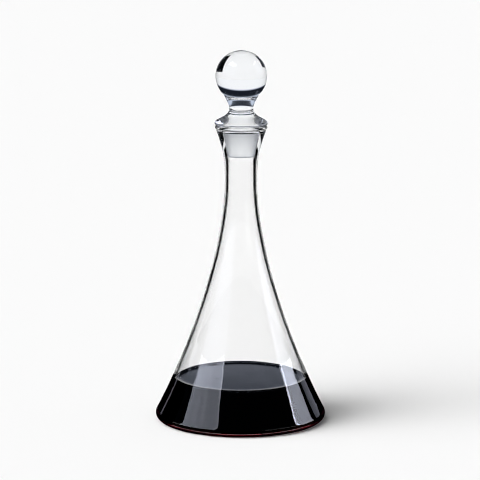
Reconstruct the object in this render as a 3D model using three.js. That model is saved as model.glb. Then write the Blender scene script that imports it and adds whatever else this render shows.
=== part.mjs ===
// A conical wine decanter of clear glass with a ground-in ball stopper, part filled with red wine.
// Millimetres, +Z up. The origin is on the surface that the decanter stands on, under its axis.
// Every piece is turned about the Z axis, so each one is a profile of (radius, height) points.
import * as THREE from 'three';

// ---- Driving dimensions ----

// Vessel, outside
const FLOOR_RING_RADIUS = 78.9;      // outer edge of the flat ring that it stands on
const FLOOR_RING_WIDTH = 8;
const HEEL_RADIUS = 6.6;             // rounding between the ring and the wall
const WALL_LEAN = 28;                // degrees from vertical, just above the heel
const WAIST_RADIUS = 16.25;          // the narrowest place of the neck
const WAIST_HEIGHT = 242;
const RIM_RADIUS = 26.1;
const RIM_HEIGHT = 296.5;            // where the flared lip is widest
const RIM_LEAN = 21.5;               // degrees from vertical, at the lip
const LIP_ROUNDING = 2.1;
const MOUTH_ROUNDING = 1.5;          // the inner edge of the lip

// Vessel, inside
const BASE_GLASS = 6;                // glass under the wine
const PUNT_RISE = 2.2;               // how far the middle of the underside is pushed up
const WALL_AT_HEEL = 2.6;
const WALL_AT_NECK = 3.4;
const BORE_RADIUS = WAIST_RADIUS - WALL_AT_NECK;
const INNER_CORNER_RADIUS = 5;
const SOCKET_BOTTOM_HEIGHT = 264;    // the ground cone that the stopper sits in
const SOCKET_TOP_HEIGHT = 293;
const SOCKET_TOP_RADIUS = 18;

// Stopper
const BALL_RADIUS = 25.6;
const BALL_CENTRE_HEIGHT = 347.5;
const STEM_TOP_RADIUS = 17.6;        // where the stem leaves the ball
const STEM_LEAN = -28;               // it widens towards the ball
const STEM_WAIST_RADIUS = 12;
const STEM_WAIST_HEIGHT = 315;
const COLLAR_RADIUS = 26.6;
const COLLAR_HEIGHT = 300.9;         // where the collar is widest
const COLLAR_UNDERCUT = 2.2;         // how much narrower its underside is
const COLLAR_TOP_RADIUS = 18;        // where its shoulder meets the fillet under the stem
const COLLAR_TOP_HEIGHT = 307.2;
const COLLAR_TOP_LEAN = 63.4;
const PLUG_BOTTOM_HEIGHT = 268;
const PLUG_ROUNDING = 1.2;
const THROAT_ROUNDING = 1;           // between the plug and the collar

// Wine
const WINE_LEVEL = 42.3;

// How far the handles of each smooth curve reach, at its start and at its end
const PUNT_REACH = [30, 20];
const SKIRT_REACH = [59, 72];
const FLARE_REACH = [14, 29];
const STEM_REACH = [4, 7];
const FILLET_REACH = [2.4, 3.5];
const SHOULDER_REACH = [2.1, 4.5];
const UNDERCUT_REACH = [1.4, 1.1];

const CLEARANCE = 0.3;               // between pieces that touch on the real object
const VESSEL_SIDES = 64;
const STOPPER_SIDES = 48;
const SKIRT_STEPS = 16;

// ---- Materials ----

const clearGlass = new THREE.MeshStandardMaterial({
  color: 0xf2f6fa, roughness: 0.03, metalness: 0, transparent: true, opacity: 0.3,
});
const stopperGlass = new THREE.MeshStandardMaterial({
  color: 0xeaf0f6, roughness: 0.06, metalness: 0, transparent: true, opacity: 0.35,
});
const redWine = new THREE.MeshStandardMaterial({ color: 0x14060a, roughness: 0.04, metalness: 0 });

// ---- Profile helpers ----

const point = (radius, height) => new THREE.Vector2(radius, height);
const radians = THREE.MathUtils.degToRad;

// Points on an arc about (radius, height), from one angle to the other in degrees, both ends included.
function arc(radius, height, size, from, to, steps) {
  return Array.from({ length: steps + 1 }, (_, i) => {
    const angle = radians(from + ((to - from) * i) / steps);
    return point(radius + size * Math.cos(angle), height + size * Math.sin(angle));
  });
}

// The unit direction up a wall that leans inward (positive) or outward (negative) by an angle in degrees.
function upWall(lean) {
  return point(-Math.sin(radians(lean)), Math.cos(radians(lean)));
}

// A smooth curve between two points, with its direction at each end and the reach of its two handles.
function sweep(start, startDirection, end, endDirection, [startReach, endReach]) {
  return new THREE.CubicBezierCurve(
    start,
    start.clone().addScaledVector(startDirection, startReach),
    end.clone().addScaledVector(endDirection, -endReach),
    end,
  );
}

// Where a polyline that climbs reaches a height.
function radiusAt(points, height) {
  const i = points.findIndex((p) => p.y >= height);
  const [low, high] = [points[i - 1], points[i]];
  return THREE.MathUtils.mapLinear(height, low.y, high.y, low.x, high.x);
}

// Revolves a profile about Z. It runs from the axis, anticlockwise round the solid, back to the axis.
function turned(name, profile, sides, material) {
  const geometry = new THREE.LatheGeometry(profile, sides);
  geometry.rotateX(Math.PI / 2);
  const mesh = new THREE.Mesh(geometry, material);
  mesh.name = name;
  return mesh;
}

// ---- Vessel ----

const up = point(0, 1);
const outward = point(1, 0);
const heel = arc(FLOOR_RING_RADIUS, HEEL_RADIUS, HEEL_RADIUS, -90, WALL_LEAN, 5);
const waist = point(WAIST_RADIUS, WAIST_HEIGHT);
const rim = point(RIM_RADIUS, RIM_HEIGHT);
const skirt = sweep(heel.at(-1), upWall(WALL_LEAN), waist, up, SKIRT_REACH);
const flare = sweep(waist, up, rim, upWall(-RIM_LEAN), FLARE_REACH);

// The inside of the skirt: its outside moved inward by the wall, which thickens towards the neck.
function skirtInside(steps) {
  return Array.from({ length: steps + 1 }, (_, i) => {
    const t = i / steps;
    const along = skirt.getTangent(t);
    const wall = THREE.MathUtils.lerp(WALL_AT_HEEL, WALL_AT_NECK, t);
    return skirt.getPoint(t).add(point(-along.y, along.x).multiplyScalar(wall));
  });
}

// The inside of the vessel, all of it moved in by an inset: floor, rounded corner, wall up to the waist.
function cavity(inset) {
  const lean = radians(WALL_LEAN);
  const floorHeight = BASE_GLASS + inset;
  const cornerHeight = floorHeight + INNER_CORNER_RADIUS;
  const cornerTop = cornerHeight + INNER_CORNER_RADIUS * Math.sin(lean);
  const wall = skirtInside(SKIRT_STEPS).map((p) => point(p.x - inset / Math.cos(lean), p.y));
  const cornerCentre = radiusAt(wall, cornerTop) - INNER_CORNER_RADIUS * Math.cos(lean);
  const corner = arc(cornerCentre, cornerHeight, INNER_CORNER_RADIUS, -90, WALL_LEAN, 4);
  return [point(0, floorHeight), ...corner, ...wall.filter((p) => p.y > cornerTop + 2)];
}

function vesselProfile() {
  const standing = point(FLOOR_RING_RADIUS - FLOOR_RING_WIDTH, 0);
  const punt = sweep(point(0, PUNT_RISE), outward, standing, outward, PUNT_REACH);
  const lip = arc(RIM_RADIUS - LIP_ROUNDING, RIM_HEIGHT, LIP_ROUNDING, 0, 90, 3);
  const mouthHeight = RIM_HEIGHT + LIP_ROUNDING - MOUTH_ROUNDING;
  const mouth = arc(SOCKET_TOP_RADIUS + MOUTH_ROUNDING, mouthHeight, MOUTH_ROUNDING, 90, 180, 3);
  const inside = cavity(0);
  return [
    ...punt.getPoints(4),
    ...heel,
    ...skirt.getPoints(SKIRT_STEPS).slice(1),
    ...flare.getPoints(7).slice(1),
    ...lip.slice(1),
    ...mouth,
    point(SOCKET_TOP_RADIUS, SOCKET_TOP_HEIGHT),
    point(BORE_RADIUS, SOCKET_BOTTOM_HEIGHT),
    ...inside.reverse(),
  ];
}

// ---- Stopper ----

function stopperProfile() {
  const junction = Math.sqrt(BALL_RADIUS ** 2 - STEM_TOP_RADIUS ** 2);
  const ballFrom = -THREE.MathUtils.radToDeg(Math.atan2(junction, STEM_TOP_RADIUS));
  const ball = arc(0, BALL_CENTRE_HEIGHT, BALL_RADIUS, ballFrom, 90, 14);
  const stemWaist = point(STEM_WAIST_RADIUS, STEM_WAIST_HEIGHT);
  const stem = sweep(stemWaist, up, ball[0], upWall(STEM_LEAN), STEM_REACH);
  const collarTop = point(COLLAR_TOP_RADIUS, COLLAR_TOP_HEIGHT);
  const fillet = sweep(collarTop, upWall(COLLAR_TOP_LEAN), stemWaist, up, FILLET_REACH);
  const collarEdge = point(COLLAR_RADIUS, COLLAR_HEIGHT);
  const shoulder = sweep(collarEdge, up, collarTop, upWall(COLLAR_TOP_LEAN), SHOULDER_REACH);
  const underside = RIM_HEIGHT + LIP_ROUNDING + CLEARANCE;
  const undersideEdge = point(COLLAR_RADIUS - COLLAR_UNDERCUT, underside);
  const undercut = sweep(undersideEdge, outward, collarEdge, up, UNDERCUT_REACH);
  const slope = (SOCKET_TOP_RADIUS - BORE_RADIUS) / (SOCKET_TOP_HEIGHT - SOCKET_BOTTOM_HEIGHT);
  const plugTop = SOCKET_TOP_RADIUS - CLEARANCE;
  const plugBottom = plugTop - slope * (SOCKET_TOP_HEIGHT - PLUG_BOTTOM_HEIGHT);
  return [
    point(0, PLUG_BOTTOM_HEIGHT),
    ...arc(plugBottom - PLUG_ROUNDING, PLUG_BOTTOM_HEIGHT + PLUG_ROUNDING, PLUG_ROUNDING, -90, 0, 3),
    point(plugTop, SOCKET_TOP_HEIGHT),
    point(plugTop, underside - THROAT_ROUNDING),
    point(plugTop + THROAT_ROUNDING, underside),
    ...undercut.getPoints(3),
    ...shoulder.getPoints(6).slice(1),
    ...fillet.getPoints(4).slice(1),
    ...stem.getPoints(4).slice(1),
    ...ball.slice(1),
  ];
}

// ---- Wine ----

function wineProfile() {
  const wall = cavity(CLEARANCE);
  return [
    ...wall.filter((p) => p.y < WINE_LEVEL - 1),
    point(radiusAt(wall, WINE_LEVEL), WINE_LEVEL),
    point(0, WINE_LEVEL),
  ];
}

// ---- The object ----

const decanter = new THREE.Group();
decanter.add(
  turned('decanter_vessel', vesselProfile(), VESSEL_SIDES, clearGlass),
  turned('ball_stopper', stopperProfile(), STOPPER_SIDES, stopperGlass),
  turned('wine', wineProfile(), VESSEL_SIDES, redWine),
);

export default decanter;
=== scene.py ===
"""A conical wine decanter with a ground-in ball stopper, part filled with red wine, on a pale studio floor.

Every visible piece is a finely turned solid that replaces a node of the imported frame. Its outline is worked
out from the driving dimensions below, in the frame's own scale.

Clear glass shows little but its studio. So most of the stage is there for the glass alone: dark cards, dark
cloths and two tall soft boxes, none of which the camera or the floor sees.
"""
import math
from functools import reduce

import bmesh
import bpy
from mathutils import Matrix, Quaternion, Vector


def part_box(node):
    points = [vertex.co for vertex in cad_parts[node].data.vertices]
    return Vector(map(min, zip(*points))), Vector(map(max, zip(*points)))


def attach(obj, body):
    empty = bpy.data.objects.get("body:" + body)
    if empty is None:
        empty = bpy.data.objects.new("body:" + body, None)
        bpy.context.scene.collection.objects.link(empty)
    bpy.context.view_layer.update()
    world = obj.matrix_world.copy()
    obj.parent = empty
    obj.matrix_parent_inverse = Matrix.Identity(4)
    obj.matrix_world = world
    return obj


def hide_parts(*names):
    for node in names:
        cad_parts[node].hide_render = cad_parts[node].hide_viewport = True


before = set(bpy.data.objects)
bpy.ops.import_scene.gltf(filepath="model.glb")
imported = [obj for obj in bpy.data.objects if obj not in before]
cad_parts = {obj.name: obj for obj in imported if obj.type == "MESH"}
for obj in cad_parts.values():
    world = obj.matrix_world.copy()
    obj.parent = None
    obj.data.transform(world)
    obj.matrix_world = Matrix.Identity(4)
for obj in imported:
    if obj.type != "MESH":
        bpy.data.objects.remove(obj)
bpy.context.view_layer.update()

# ---- Driving dimensions of the object, in millimetres ----

# Vessel, outside
FLOOR_RING_RADIUS = 78.9
FLOOR_RING_WIDTH = 8
HEEL_RADIUS = 6.6
WALL_LEAN = 28                        # degrees inward from vertical, just above the heel
WAIST_RADIUS = 16.25
WAIST_HEIGHT = 242
RIM_RADIUS = 26.1
RIM_HEIGHT = 296.5
RIM_LEAN = 21.5                       # degrees outward from vertical, at the lip
LIP_ROUNDING = 2.1
MOUTH_ROUNDING = 1.5
VESSEL_HEIGHT = RIM_HEIGHT + LIP_ROUNDING
PUNT_RISE = 2.2                       # how far the middle of the underside is pushed up
PUNT_LANDING = (1, -0.05)             # the direction in which it meets the ring

# Vessel, inside
BASE_GLASS = 6
WALL_AT_HEEL = 2.6
WALL_AT_NECK = 3.4
BORE_RADIUS = WAIST_RADIUS - WALL_AT_NECK
INNER_CORNER_RADIUS = 5
SOCKET_BOTTOM_HEIGHT = 264
SOCKET_TOP_HEIGHT = 293
SOCKET_TOP_RADIUS = 18

# Stopper
BALL_RADIUS = 25.6
BALL_CENTRE_HEIGHT = 347.5
STEM_TOP_RADIUS = 17.6
STEM_LEAN = -28                       # it widens towards the ball
STEM_WAIST_RADIUS = 12
STEM_WAIST_HEIGHT = 315
COLLAR_RADIUS = 26.6
COLLAR_HEIGHT = 300.9
COLLAR_UNDERCUT = 2.2                 # how much narrower its underside is
COLLAR_CLEARANCE = 0.3                # above the lip
COLLAR_UNDERSIDE = VESSEL_HEIGHT + COLLAR_CLEARANCE
COLLAR_TOP_RADIUS = 18
COLLAR_TOP_HEIGHT = 307.2
COLLAR_SLOPE = (-0.894, 0.447)        # the direction up its shoulder
PLUG_BOTTOM_HEIGHT = 268
PLUG_ROUNDING = 1.2
PLUG_GAP = 0.12                       # the ground cones are close enough to look joined
THROAT_ROUNDING = 1                   # between the plug and the collar

# Wine
WINE_LEVEL = 42.3
MENISCUS_CLIMB = 1.5                  # how far the wine creeps up the glass
MENISCUS_REACH = 1.9
WINE_OVERLAP = 0.06                   # the wine wets the glass, so there is no air between them

# How far the handles of each smooth curve reach, at its start and at its end
PUNT_REACH = (30, 12)
SKIRT_REACH = (59, 72)
FLARE_REACH = (14, 29)
STEM_REACH = (4, 7)
FILLET_REACH = (2.4, 3.5)
SHOULDER_REACH = (2.1, 4.5)
UNDERCUT_REACH = (1.4, 1.1)

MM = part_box("decanter_vessel")[1].z / VESSEL_HEIGHT
ON_AXIS = 1e-7                        # metres, below which a ring is a single point
VESSEL_SIDES = 288
STOPPER_SIDES = 192
SKIRT_STEPS = 110
SURFACE_STEPS = 40

# ---- Driving values of the materials ----

GLASS_IOR = 1.5
WINE_IOR = 1.5                        # as the glass, so nothing shows where the two meet
FACING_GLOSS = 0.4                    # of the mirror reflection that uncoated glass has face on
CLEAR = (1, 1, 1)
STOPPER_TINT = (0.97, 0.983, 1)
GROUND_TINT = (0.985, 0.995, 1)
GROUND_ROUGHNESS = (0.28, 0.42)       # from the finest grain to the coarsest
GRAIN_SIZE = 0.0008                   # metres, as the ripples are
VESSEL_RIPPLES = {"size": 0.03, "depth": 0.00018}
STOPPER_RIPPLES = {"size": 0.012, "depth": 0.00006}
WINE_COLOR = (0.80, 0.02, 0.05)
WINE_DENSITY = 420

# ---- Driving values of the studio, in metres, with compass angles and elevations in degrees ----

# Compass angle 0 is straight behind the decanter, and 90 is to its right.
PALE = (0.951, 0.959, 0.963)          # the backdrop, which the lit floor matches
FLOOR_RADIUS = 24
FLOOR_ALBEDO = 0.9
KEY_ANGLE = -115
KEY_ELEVATION = 36
KEY_FOCUS = 10                        # the power of the cosine by which the key light falls off
KEY_STRENGTH = 8.66
FILL_STRENGTH = 0.2215

SURROUND_ANGLES = (-95, 150)
SURROUND_FADE = (10, 15)              # the elevations between which it fades
SURROUND_LIFT = 4                     # how much higher it reaches for rays that nothing has mirrored
FRINGE_COLOR = (0, 0.1, 0.4)          # added where the surround fades
ROOM_COLOR = (0.010, 0.013, 0.020)
OVERHEAD_FADE = (32, 44)
OVERHEAD_COLOR = (0.55, 0.62, 0.74)

BOX_COLOR = (0.94, 0.99, 1.16)
LEFT_BOX_ANGLES = (-144, -90)
LEFT_BOX_ELEVATIONS = (6, 60)
LEFT_BOX_RADIANCE = (6.4, 5.44)       # low down, and high up
LEFT_BOX_EDGE = (-145, -142.5)
LEFT_EDGE_GAIN = 0.6                  # how much brighter that edge is than the rest
LEFT_BOX_STREAKS = ((-107, -106, 3), (-119, -118, 4))    # from, to, and how soft
STREAK_GAIN = 0.25
RIGHT_BOX_ANGLES = (64, 94)
RIGHT_BOX_ELEVATIONS = (6, 45)
RIGHT_BOX_RADIANCE = (4.38, 10.585)   # at its left side, and at its right
RIGHT_BOX_EDGE = (91.5, 94)
RIGHT_EDGE_GAIN = 1.5

CARD_DISTANCE = 0.29                  # from the decanter's axis
STRIP_DISTANCE = 0.285
RIM_CARD_DISTANCE = 0.1
CARD_FOOT = 0.001
BODY_CARD_TOP = 0.285
LOW_CARD_TOP = 0.11
BALL_CARD_TOP = 0.62
VEIL_TOP = 0.6
CLOTH_HEIGHT = 0.001
BLACK = (0, 0, 0)

CAMERA_TARGET = (-0.0009, 0, 0.1827)
CAMERA_DISTANCE = 2.65
CAMERA_PITCH = 10.34                  # degrees downward
CAMERA_ROLL = 0.15
CAMERA_LENS = 198.75                  # millimetres, on a sensor 36 mm wide

# ---- Outlines: runs of (radius, height) points, each run with its own material slot ----


def arc(radius, height, size, start, end, steps):
    """Points on an arc about (radius, height), from one angle to the other in degrees."""
    angles = [math.radians(start + (end - start) * i / steps) for i in range(steps + 1)]
    return [(radius + size * math.cos(a), height + size * math.sin(a)) for a in angles]


def up_wall(lean):
    """The unit direction up a wall that leans inward (positive) or outward (negative), in degrees."""
    return -math.sin(math.radians(lean)), math.cos(math.radians(lean))


class Sweep:
    """A cubic curve between two points, with its direction at each end and the reach of its two handles."""

    def __init__(self, start, start_direction, end, end_direction, reach):
        start, end = Vector(start), Vector(end)
        start_reach, end_reach = reach
        self.points = (
            start,
            start + Vector(start_direction) * start_reach,
            end - Vector(end_direction) * end_reach,
            end,
        )

    def at(self, t):
        a, b, c, d = self.points
        s = 1 - t
        return a * s**3 + b * 3 * s * s * t + c * 3 * s * t * t + d * t**3

    def along(self, t):
        a, b, c, d = self.points
        s = 1 - t
        return ((b - a) * s * s + (c - b) * 2 * s * t + (d - c) * t * t).normalized()

    def run(self, steps):
        return [tuple(self.at(i / steps)) for i in range(steps + 1)]


UP = (0, 1)
OUTWARD = (1, 0)
heel = arc(FLOOR_RING_RADIUS, HEEL_RADIUS, HEEL_RADIUS, -90, WALL_LEAN, 18)
waist = (WAIST_RADIUS, WAIST_HEIGHT)
skirt = Sweep(heel[-1], up_wall(WALL_LEAN), waist, UP, SKIRT_REACH)
flare = Sweep(waist, UP, (RIM_RADIUS, RIM_HEIGHT), up_wall(-RIM_LEAN), FLARE_REACH)


def skirt_inside():
    """The skirt moved inward by the wall, which thickens towards the neck."""
    wall = []
    for i in range(SKIRT_STEPS + 1):
        t = i / SKIRT_STEPS
        along = skirt.along(t)
        thickness = WALL_AT_HEEL + (WALL_AT_NECK - WALL_AT_HEEL) * t
        wall.append(tuple(skirt.at(t) + Vector((-along.y, along.x)) * thickness))
    return wall


def radius_at(points, height):
    """Where a polyline that climbs reaches a height."""
    for (r0, z0), (r1, z1) in zip(points, points[1:]):
        if z0 <= height <= z1:
            return r0 + (r1 - r0) * (height - z0) / (z1 - z0)
    raise ValueError(f"the outline never reaches {height}")


def cavity(outset):
    """The inside of the vessel from the middle of its floor to the waist, moved outward by an outset."""
    lean = math.radians(WALL_LEAN)
    floor_height = BASE_GLASS - outset
    corner_height = floor_height + INNER_CORNER_RADIUS
    corner_top = corner_height + INNER_CORNER_RADIUS * math.sin(lean)
    wall = [(r + outset / math.cos(lean), z) for r, z in skirt_inside()]
    centre = radius_at(wall, corner_top) - INNER_CORNER_RADIUS * math.cos(lean)
    floor = [(centre * i / 12, floor_height) for i in range(12)]
    corner = arc(centre, corner_height, INNER_CORNER_RADIUS, -90, WALL_LEAN, 14)
    return floor + corner + [p for p in wall if p[1] > corner_top + 0.5]


def vessel_runs():
    """The outside, the socket and the dry wall, then the wall that the wine wets."""
    standing = (FLOOR_RING_RADIUS - FLOOR_RING_WIDTH, 0)
    punt = Sweep((0, PUNT_RISE), OUTWARD, standing, PUNT_LANDING, PUNT_REACH)
    lip = arc(RIM_RADIUS - LIP_ROUNDING, RIM_HEIGHT, LIP_ROUNDING, -RIM_LEAN, 90, 12)
    mouth_centre = (SOCKET_TOP_RADIUS + MOUTH_ROUNDING, VESSEL_HEIGHT - MOUTH_ROUNDING)
    mouth = arc(*mouth_centre, MOUTH_ROUNDING, 90, 180, 8)
    outside = punt.run(24) + heel + skirt.run(SKIRT_STEPS)[1:] + flare.run(40)[1:] + lip[1:] + mouth
    socket = [(SOCKET_TOP_RADIUS, SOCKET_TOP_HEIGHT), (BORE_RADIUS, SOCKET_BOTTOM_HEIGHT)]
    inside = cavity(0)[::-1]
    waterline = WINE_LEVEL + MENISCUS_CLIMB
    dry = [p for p in inside if p[1] > waterline]
    wet = [p for p in inside if p[1] <= waterline]
    return [(outside + socket + dry, 0), (wet, 1)]


def stopper_runs():
    """The ground plug, then the collar, stem and ball, all of them clear."""
    junction = math.sqrt(BALL_RADIUS**2 - STEM_TOP_RADIUS**2)
    ball_start = -math.degrees(math.atan2(junction, STEM_TOP_RADIUS))
    ball = arc(0, BALL_CENTRE_HEIGHT, BALL_RADIUS, ball_start, 90, 90)
    stem_waist = (STEM_WAIST_RADIUS, STEM_WAIST_HEIGHT)
    stem = Sweep(stem_waist, UP, ball[0], up_wall(STEM_LEAN), STEM_REACH)
    collar_top = (COLLAR_TOP_RADIUS, COLLAR_TOP_HEIGHT)
    fillet = Sweep(collar_top, COLLAR_SLOPE, stem_waist, UP, FILLET_REACH)
    collar_edge = (COLLAR_RADIUS, COLLAR_HEIGHT)
    shoulder = Sweep(collar_edge, UP, collar_top, COLLAR_SLOPE, SHOULDER_REACH)
    underside_edge = (COLLAR_RADIUS - COLLAR_UNDERCUT, COLLAR_UNDERSIDE)
    undercut = Sweep(underside_edge, OUTWARD, collar_edge, UP, UNDERCUT_REACH)
    slope = (SOCKET_TOP_RADIUS - BORE_RADIUS) / (SOCKET_TOP_HEIGHT - SOCKET_BOTTOM_HEIGHT)
    plug_top = SOCKET_TOP_RADIUS - PLUG_GAP
    plug_bottom = plug_top - slope * (SOCKET_TOP_HEIGHT - PLUG_BOTTOM_HEIGHT)
    edge_centre = (plug_bottom - PLUG_ROUNDING, PLUG_BOTTOM_HEIGHT + PLUG_ROUNDING)
    edge = arc(*edge_centre, PLUG_ROUNDING, -90, 0, 8)
    plug = [(0, PLUG_BOTTOM_HEIGHT)] + edge + [(plug_top, SOCKET_TOP_HEIGHT)]
    throat_centre = (plug_top + THROAT_ROUNDING, COLLAR_UNDERSIDE - THROAT_ROUNDING)
    throat = arc(*throat_centre, THROAT_ROUNDING, 180, 90, 6)
    upper = undercut.run(10) + shoulder.run(24)[1:] + fillet.run(14)[1:] + stem.run(16)[1:] + ball[1:]
    return [(plug, 1), (throat + upper, 0)]


def wine_runs():
    """The wine's sides and bottom, just inside the glass that it wets, then its surface with a meniscus."""
    wetted = cavity(WINE_OVERLAP)
    side = [p for p in wetted if p[1] < WINE_LEVEL + MENISCUS_CLIMB]
    rim = radius_at(wetted, WINE_LEVEL + MENISCUS_CLIMB)
    surface = []
    for i in range(SURFACE_STEPS + 1):
        inward = rim * (i / SURFACE_STEPS) ** 2.2     # crowded towards the rim, where the surface curves
        surface.append((rim - inward, WINE_LEVEL + MENISCUS_CLIMB * math.exp(-inward / MENISCUS_REACH)))
    return [(side, 0), (surface, 1)]


def new_object(name, bm, materials):
    """Puts what bmesh has built into the scene, with its materials."""
    mesh = bpy.data.meshes.new(name)
    bm.to_mesh(mesh)
    bm.free()
    for material in materials:
        mesh.materials.append(material)
    piece = bpy.data.objects.new(name, mesh)
    bpy.context.scene.collection.objects.link(piece)
    return piece


def turned(name, runs, sides, materials, node, body):
    """A solid turned about Z that rides in place of a node. Its outline starts and ends on the axis."""
    outline = [(r * MM, z * MM, material) for run, material in runs for r, z in run]
    bm = bmesh.new()
    rings = []
    for r, z, _ in outline:
        if r < ON_AXIS:
            rings.append([bm.verts.new((0, 0, z))] * sides)
            continue
        angles = [math.tau * i / sides for i in range(sides)]
        rings.append([bm.verts.new((r * math.cos(a), r * math.sin(a), z)) for a in angles])
    for (lower, upper), (_, _, material) in zip(zip(rings, rings[1:]), outline[1:]):
        for i in range(sides):
            j = (i + 1) % sides
            corners = dict.fromkeys((lower[i], lower[j], upper[j], upper[i]))
            face = bm.faces.new(list(corners))
            face.material_index = material
            face.smooth = True
    piece = new_object(name, bm, materials)
    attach(piece, body)
    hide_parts(node)


# ---- Shader nodes ----


class Nodes:
    """Short ways to add nodes to a material or a world. Sums, products and curves return a socket."""

    def __init__(self, tree):
        self.tree = tree

    def add(self, kind, **settings):
        node = self.tree.nodes.new(kind)
        for name, value in settings.items():
            setattr(node, name, value)
        return node

    def feed(self, socket, value):
        """Gives a socket a constant, or links another socket to it."""
        if isinstance(value, bpy.types.NodeSocket):
            self.tree.links.new(value, socket)
        else:
            socket.default_value = value

    def maths(self, operation, *values):
        node = self.add("ShaderNodeMath", operation=operation)
        for socket, value in zip(node.inputs, values):
            self.feed(socket, value)
        return node.outputs[0]

    def total(self, *values):
        return reduce(lambda a, b: self.maths("ADD", a, b), values)

    def product(self, *values):
        return reduce(lambda a, b: self.maths("MULTIPLY", a, b), values)

    def one_minus(self, value):
        return self.maths("SUBTRACT", 1, value)

    def vector_maths(self, operation, *values):
        node = self.add("ShaderNodeVectorMath", operation=operation)
        for socket, value in zip(node.inputs, values):
            self.feed(socket, value)
        return node

    def colored(self, strength, color):
        node = self.vector_maths("SCALE", color)
        self.feed(node.inputs["Scale"], strength)
        return node.outputs["Vector"]

    def sum_of_colors(self, *colors):
        return reduce(lambda a, b: self.vector_maths("ADD", a, b).outputs["Vector"], colors)

    def chosen(self, factor, first, second):
        """The first colour where the factor is 0, and the second where it is 1."""
        node = self.add("ShaderNodeMix", data_type="VECTOR")
        for index, value in ((0, factor), (4, first), (5, second)):
            self.feed(node.inputs[index], value)
        return node.outputs[1]

    def ramp(self, angle, low, high, start, end, kind="LINEAR"):
        """From start to end as an angle goes from low to high, both in degrees."""
        node = self.add("ShaderNodeMapRange", interpolation_type=kind)
        self.feed(node.inputs["Value"], angle)
        node.inputs["From Min"].default_value = math.radians(low)
        node.inputs["From Max"].default_value = math.radians(high)
        node.inputs["To Min"].default_value = start
        node.inputs["To Max"].default_value = end
        return node.outputs["Result"]

    def step(self, angle, low, high):
        """0 below low and 1 above high, both in degrees, with a soft edge between."""
        return self.ramp(angle, low, high, 0, 1, "SMOOTHSTEP")

    def band(self, angle, low, high, soft):
        """1 between low and high, in degrees, and 0 outside, past an edge that many degrees soft."""
        past_high = self.step(angle, high, high + soft)
        return self.product(self.step(angle, low - soft, low), self.one_minus(past_high))

    def object_noise(self, size, detail):
        """Noise fixed to the object, with features of a size in metres."""
        place = self.add("ShaderNodeTexCoord")
        noise = self.add("ShaderNodeTexNoise")
        noise.inputs["Scale"].default_value = 1 / size
        noise.inputs["Detail"].default_value = detail
        self.feed(noise.inputs["Vector"], place.outputs["Object"])
        return noise.outputs["Fac"]


def new_material(name):
    """A material, its shader, and a helper for adding nodes to it."""
    material = bpy.data.materials.new(name)
    material.use_nodes = True
    return material, material.node_tree.nodes["Principled BSDF"], Nodes(material.node_tree)


# ---- Materials of the object ----


def glass_material(name, ior, roughness=0.0, color=CLEAR):
    """A clear dielectric. Its constants sit on the shader's own sockets."""
    material, shader, _ = new_material(name)
    shader.inputs["Base Color"].default_value = (*color, 1)
    shader.inputs["Transmission Weight"].default_value = 1
    shader.inputs["Roughness"].default_value = roughness
    shader.inputs["IOR"].default_value = ior
    shader.inputs["Specular Tint"].default_value = (FACING_GLOSS, FACING_GLOSS, FACING_GLOSS, 1)
    return material


def rippled(material, size, depth):
    """Gives a material the slight ripples that worked glass has."""
    nodes = Nodes(material.node_tree)
    bump = nodes.add("ShaderNodeBump")
    bump.inputs["Distance"].default_value = depth
    nodes.feed(bump.inputs["Height"], nodes.object_noise(size, 1))
    nodes.feed(material.node_tree.nodes["Principled BSDF"].inputs["Normal"], bump.outputs["Normal"])
    return material


def ground_material(name, ior):
    """Glass ground with grit: its roughness varies from grain to grain."""
    finest, coarsest = GROUND_ROUGHNESS
    material = glass_material(name, ior, (finest + coarsest) / 2, GROUND_TINT)
    nodes = Nodes(material.node_tree)
    spread = nodes.add("ShaderNodeMapRange")
    spread.inputs["From Min"].default_value = 0.3
    spread.inputs["From Max"].default_value = 0.7
    spread.inputs["To Min"].default_value = finest
    spread.inputs["To Max"].default_value = coarsest
    nodes.feed(spread.inputs["Value"], nodes.object_noise(GRAIN_SIZE, 3))
    nodes.feed(material.node_tree.nodes["Principled BSDF"].inputs["Roughness"], spread.outputs["Result"])
    return material


def wine_material(name, ior):
    """Liquid that takes its colour from the depth that light passes through."""
    material = glass_material(name, ior)
    nodes = Nodes(material.node_tree)
    absorb = nodes.add("ShaderNodeVolumeAbsorption")
    absorb.inputs["Color"].default_value = (*WINE_COLOR, 1)
    absorb.inputs["Density"].default_value = WINE_DENSITY
    nodes.feed(material.node_tree.nodes["Material Output"].inputs["Volume"], absorb.outputs["Volume"])
    return material


def add_decanter():
    clear_glass = rippled(glass_material("clear_glass", GLASS_IOR), **VESSEL_RIPPLES)
    wet_glass = glass_material("wet_glass", GLASS_IOR / WINE_IOR)
    turned(
        "vessel_glass", vessel_runs(), VESSEL_SIDES, [clear_glass, wet_glass],
        "decanter_vessel", "vessel",
    )

    stopper_clear = rippled(glass_material("stopper_glass", GLASS_IOR, color=STOPPER_TINT), **STOPPER_RIPPLES)
    ground_glass = ground_material("ground_glass", GLASS_IOR)
    turned(
        "stopper_glass", stopper_runs(), STOPPER_SIDES, [stopper_clear, ground_glass],
        "ball_stopper", "stopper",
    )

    # the wetted wall bends light as between glass and wine, so the wine's own side doesn't bend it again
    wine_side = wine_material("wine_against_glass", 1.0)
    wine_surface = wine_material("wine_surface", WINE_IOR)
    turned(
        "wine_fill", wine_runs(), VESSEL_SIDES, [wine_side, wine_surface],
        "wine", "vessel",
    )


# ---- The floor, and what only the glass sees ----


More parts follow.
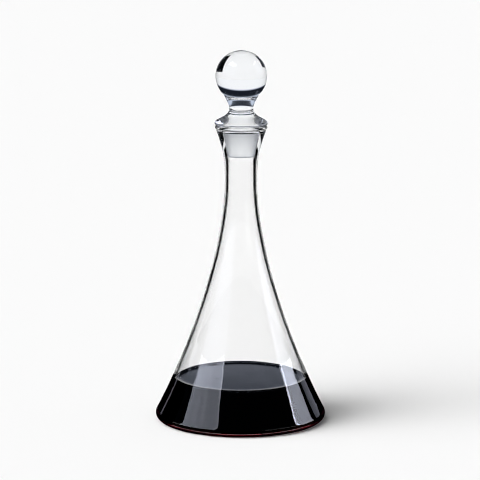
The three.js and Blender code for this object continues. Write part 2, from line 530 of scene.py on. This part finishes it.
def add_floor():
    material, shader, _ = new_material("pale_floor")
    shader.inputs["Base Color"].default_value = (FLOOR_ALBEDO, FLOOR_ALBEDO, FLOOR_ALBEDO, 1)
    shader.inputs["Roughness"].default_value = 1
    shader.inputs["Specular IOR Level"].default_value = 0
    bm = bmesh.new()
    bmesh.ops.create_circle(bm, cap_ends=True, segments=96, radius=FLOOR_RADIUS)
    new_object("floor", bm, [material])


def rays_that_meet(nodes, seen_by):
    """1 for the rays that a dark surface stops, and 0 for those that it lets through.

    "mirrors" are the rays that glass has mirrored, on its surface or inside it. "walls" are those, and the
    rays that have gone through two walls of the vessel. "solids" are all the others, which have gone straight
    through one piece of glass.
    """
    path = nodes.add("ShaderNodeLightPath").outputs
    mirrored = nodes.maths("GREATER_THAN", path["Glossy Depth"], 0.5)
    if seen_by == "mirrors":
        return mirrored
    past_one_piece = nodes.maths("GREATER_THAN", path["Transmission Depth"], 2.5)
    walls = nodes.maths("MAXIMUM", mirrored, past_one_piece)
    return walls if seen_by == "walls" else nodes.one_minus(walls)


def dark_material(name, seen_by, color, cover):
    """One even dark colour, and clear to the rays that aren't meant to meet it."""
    material, shader, nodes = new_material(name)
    shader.inputs["Base Color"].default_value = (*BLACK, 1)
    shader.inputs["Roughness"].default_value = 1
    shader.inputs["Specular IOR Level"].default_value = 0
    shader.inputs["Emission Color"].default_value = (*color, 1)
    shader.inputs["Emission Strength"].default_value = 1
    if seen_by != "everything":
        mix = nodes.add("ShaderNodeMixShader")
        nodes.feed(mix.inputs[0], nodes.product(rays_that_meet(nodes, seen_by), cover))
        nodes.feed(mix.inputs[1], nodes.add("ShaderNodeBsdfTransparent").outputs[0])
        nodes.feed(mix.inputs[2], shader.outputs[0])
        nodes.feed(material.node_tree.nodes["Material Output"].inputs["Surface"], mix.outputs[0])
    return material


def around_axis(angle, distance, height):
    """A point by its compass angle in degrees, its distance from the decanter's axis and its height."""
    turn = math.radians(angle)
    return distance * math.sin(turn), distance * math.cos(turn), height


def dark_strip(name, angles, spacing, edges_at, seen_by="everything", through_glass=True, color=BLACK,
               cover=1):
    """A dark strip round the decanter, between two compass angles, that the camera and floor never see.

    edges_at(t) gives the (distance, height) of both its edges, as t goes from 0 to 1 along it.
    """
    start, end = angles
    steps = max(1, round(abs(end - start) / spacing))
    bm = bmesh.new()
    edges = []
    for i in range(steps + 1):
        angle = start + (end - start) * i / steps
        edges.append([around_axis(angle, *place) for place in edges_at(i / steps)])
    for (a, b), (next_a, next_b) in zip(edges, edges[1:]):
        bm.faces.new([bm.verts.new(corner) for corner in (a, next_a, next_b, b)])
    piece = new_object(name, bm, [dark_material(name, seen_by, color, cover)])
    piece.visible_camera = False
    piece.visible_diffuse = False
    piece.visible_shadow = False
    piece.visible_transmission = through_glass


def card(name, angles, bottom, top, distance=CARD_DISTANCE, bottom_at_end=None, **seen):
    """An upright card curved about the decanter. Its lower edge may climb from one end to the other."""
    climb = 0 if bottom_at_end is None else bottom_at_end - bottom
    dark_strip(name, angles, 3, lambda t: ((distance, bottom + climb * t), (distance, top)), **seen)


def cloth(name, angles, near, far, height=CLOTH_HEIGHT, **seen):
    """A cloth flat on the floor, between two distances."""
    dark_strip(name, angles, 5, lambda t: ((near, height), (far, height)), **seen)


def add_cards():
    # behind the decanter on both sides, for the dark lines along its edges
    card("right_wall_card", (29, 61), CARD_FOOT, BODY_CARD_TOP, seen_by="walls")
    card("right_solid_card", (33, 71), CARD_FOOT, BODY_CARD_TOP, seen_by="solids")
    card("left_solid_card", (-74, -46), CARD_FOOT, 0.235, seen_by="solids")
    card("left_outer_card", (-66, -57), CARD_FOOT, BODY_CARD_TOP, seen_by="walls")
    card("left_middle_card", (-57, -33), CARD_FOOT, BODY_CARD_TOP, seen_by="mirrors")
    card("left_inner_card", (-33, -29), CARD_FOOT, BODY_CARD_TOP, seen_by="walls")
    card("left_low_card", (-88, -66), CARD_FOOT, LOW_CARD_TOP, seen_by="mirrors")
    card("right_low_card", (61, 76), CARD_FOOT, LOW_CARD_TOP, seen_by="mirrors")

    # higher up, for the bars inside the ball and the lines inside the lip
    card("right_ball_card", (7, 64), 0.335, BALL_CARD_TOP, seen_by="mirrors")
    card("left_ball_card", (-64, -10), 0.305, BALL_CARD_TOP, seen_by="mirrors")

    # grey strips just inside the cards, for the narrow reflections at the sides of the wine
    strips = {"distance": STRIP_DISTANCE, "through_glass": False}
    card("right_strip", (52.5, 69), 0.035, LOW_CARD_TOP, color=(0.70, 0.74, 0.90), **strips)
    card("left_strip", (-58, -54), 0.03, 0.10, color=(0.48, 0.50, 0.62), **strips)

    # veils that dim the soft boxes where the glass above the wine mirrors them
    veils = {"distance": STRIP_DISTANCE, "seen_by": "mirrors"}
    card("left_veil", (-150, -70), 0.2, VEIL_TOP, bottom_at_end=0.127, cover=0.74, **veils)
    card("right_veil", (60, 125), 0.0995, VEIL_TOP, bottom_at_end=0.1795, cover=0.8, **veils)

    # close round the base, for the dark red line where light crosses the glass under the wine: a card behind
    # the base glows red as painted light, and a near-black card round the rest is painted shade
    rim = {"distance": RIM_CARD_DISTANCE, "seen_by": "solids"}
    card("painted_rim_light", (-2.5, 2.5), 0.0002, 0.02, color=(0.30, 0.015, 0.03), **rim)
    card("painted_rim_shade", (2.5, 357.5), 0.0002, 0.02, color=(0.012, 0.003, 0.008), **rim)


def add_cloths():
    # the floor as the glass mirrors it: dark in front, close to the base, and far off except behind
    cloth("front_cloth", (150, 265), 0.35, 3)
    cloth("near_cloth", (0, 360), 0.0865, 0.35, through_glass=False)
    cloth("far_cloth", (20, 340), 0.35, 23, seen_by="mirrors")

    # painted shade on the floor under the base and just round it, near black with a little of the wine's red,
    # and in front of the base a painted pool of the red light that the wine lets through
    cloth("painted_shade_under_decanter", (0, 360), 0, 0.12, height=0.00004, color=(0.008, 0.001, 0.003))
    cloth("painted_red_light_pool", (165, 205), 0.05, 0.12, height=0.00008, color=(0.06, 0.002, 0.006))


# ---- Light ----


def soft_boxes(nodes, around, elevation):
    """The radiance of two tall soft boxes: the left brighter lower down, the right brighter to its right."""
    streaks = nodes.total(*(nodes.band(around, *streak) for streak in LEFT_BOX_STREAKS))
    left_edge = nodes.band(around, *LEFT_BOX_EDGE, 0.5)
    right_edge = nodes.band(around, *RIGHT_BOX_EDGE, 0.5)
    left = nodes.product(
        nodes.band(around, *LEFT_BOX_ANGLES, 1),
        nodes.band(elevation, *LEFT_BOX_ELEVATIONS, 2),
        nodes.ramp(elevation, 10, 45, *LEFT_BOX_RADIANCE),
        nodes.total(1, nodes.product(left_edge, LEFT_EDGE_GAIN), nodes.product(streaks, STREAK_GAIN)),
    )
    right = nodes.product(
        nodes.band(around, *RIGHT_BOX_ANGLES, 1),
        nodes.band(elevation, *RIGHT_BOX_ELEVATIONS, 2),
        nodes.ramp(around, *RIGHT_BOX_ANGLES, *RIGHT_BOX_RADIANCE),
        nodes.total(1, nodes.product(right_edge, RIGHT_EDGE_GAIN)),
    )
    return nodes.total(left, right)


def light_for_glass(nodes, path, around, elevation):
    """A low pale surround with a blue fringe, a dark room above it, two soft boxes and a light high above.

    The boxes show only as mirror images, and the light above only through a whole thickness of glass.
    """
    not_mirrored = nodes.maths("LESS_THAN", path["Glossy Depth"], 0.5)
    lift = nodes.product(not_mirrored, math.radians(SURROUND_LIFT))
    above = nodes.step(nodes.maths("SUBTRACT", elevation, lift), *SURROUND_FADE)
    surround = nodes.product(nodes.one_minus(above), nodes.band(around, *SURROUND_ANGLES, 4))
    fringe = nodes.product(surround, nodes.one_minus(surround))
    boxes = nodes.product(soft_boxes(nodes, around, elevation), nodes.one_minus(not_mirrored))
    through = nodes.maths("GREATER_THAN", path["Transmission Depth"], 1.5)
    overhead = nodes.product(through, nodes.step(elevation, *OVERHEAD_FADE))
    return nodes.sum_of_colors(
        nodes.colored(surround, PALE),
        nodes.colored(boxes, BOX_COLOR),
        nodes.colored(fringe, FRINGE_COLOR),
        nodes.colored(overhead, OVERHEAD_COLOR),
        ROOM_COLOR,
    )


def light_for_floor(nodes, direction):
    """A soft key light from the left, over an even fill."""
    key_elevation = math.radians(KEY_ELEVATION)
    key = around_axis(KEY_ANGLE, math.cos(key_elevation), math.sin(key_elevation))
    towards_key = nodes.vector_maths("DOT_PRODUCT", direction, key).outputs["Value"]
    lobe = nodes.maths("POWER", nodes.maths("MAXIMUM", towards_key, 0), KEY_FOCUS)
    return nodes.total(nodes.product(lobe, KEY_STRENGTH), FILL_STRENGTH)


def build_world():
    """What surrounds the decanter, by direction: one light for glass, one for the floor, and a backdrop."""
    world = bpy.data.worlds.new("studio")
    bpy.context.scene.world = world
    world.use_nodes = True
    world.cycles.sampling_method = "NONE"
    nodes = Nodes(world.node_tree)
    path = nodes.add("ShaderNodeLightPath").outputs
    direction = nodes.add("ShaderNodeTexCoord").outputs["Generated"]
    split = nodes.add("ShaderNodeSeparateXYZ")
    nodes.feed(split.inputs[0], direction)
    x, y, z = split.outputs
    for_glass = light_for_glass(nodes, path, nodes.maths("ARCTAN2", x, y), nodes.maths("ARCSINE", z))
    after_floor = nodes.maths("GREATER_THAN", path["Diffuse Depth"], 0.5)
    light = nodes.chosen(after_floor, for_glass, light_for_floor(nodes, direction))
    seen = nodes.chosen(path["Is Camera Ray"], light, PALE)
    nodes.feed(world.node_tree.nodes["Background"].inputs["Color"], seen)


def add_camera():
    """A long lens, a little above the decanter and turned down to its middle."""
    pitch = math.radians(CAMERA_PITCH)
    back = Vector((0, -math.cos(pitch), math.sin(pitch)))
    roll = Quaternion((0, 0, 1), math.radians(CAMERA_ROLL))
    data = bpy.data.cameras.new("camera")
    data.sensor_width = 36
    data.lens = CAMERA_LENS
    data.clip_start = 0.05
    data.clip_end = 60
    camera = bpy.data.objects.new("camera", data)
    bpy.context.scene.collection.objects.link(camera)
    camera.location = Vector(CAMERA_TARGET) + back * CAMERA_DISTANCE
    camera.rotation_mode = "QUATERNION"
    camera.rotation_quaternion = (-back).to_track_quat("-Z", "Y") @ roll
    bpy.context.scene.camera = camera


add_decanter()
add_floor()
add_cards()
add_cloths()
build_world()
add_camera()

scene = bpy.context.scene
scene.view_settings.view_transform = "Standard"
scene.cycles.max_bounces = 40
scene.cycles.transmission_bounces = 40
scene.cycles.glossy_bounces = 16
scene.cycles.diffuse_bounces = 3
scene.cycles.use_denoising = True
scene.cycles.filter_width = 1.1
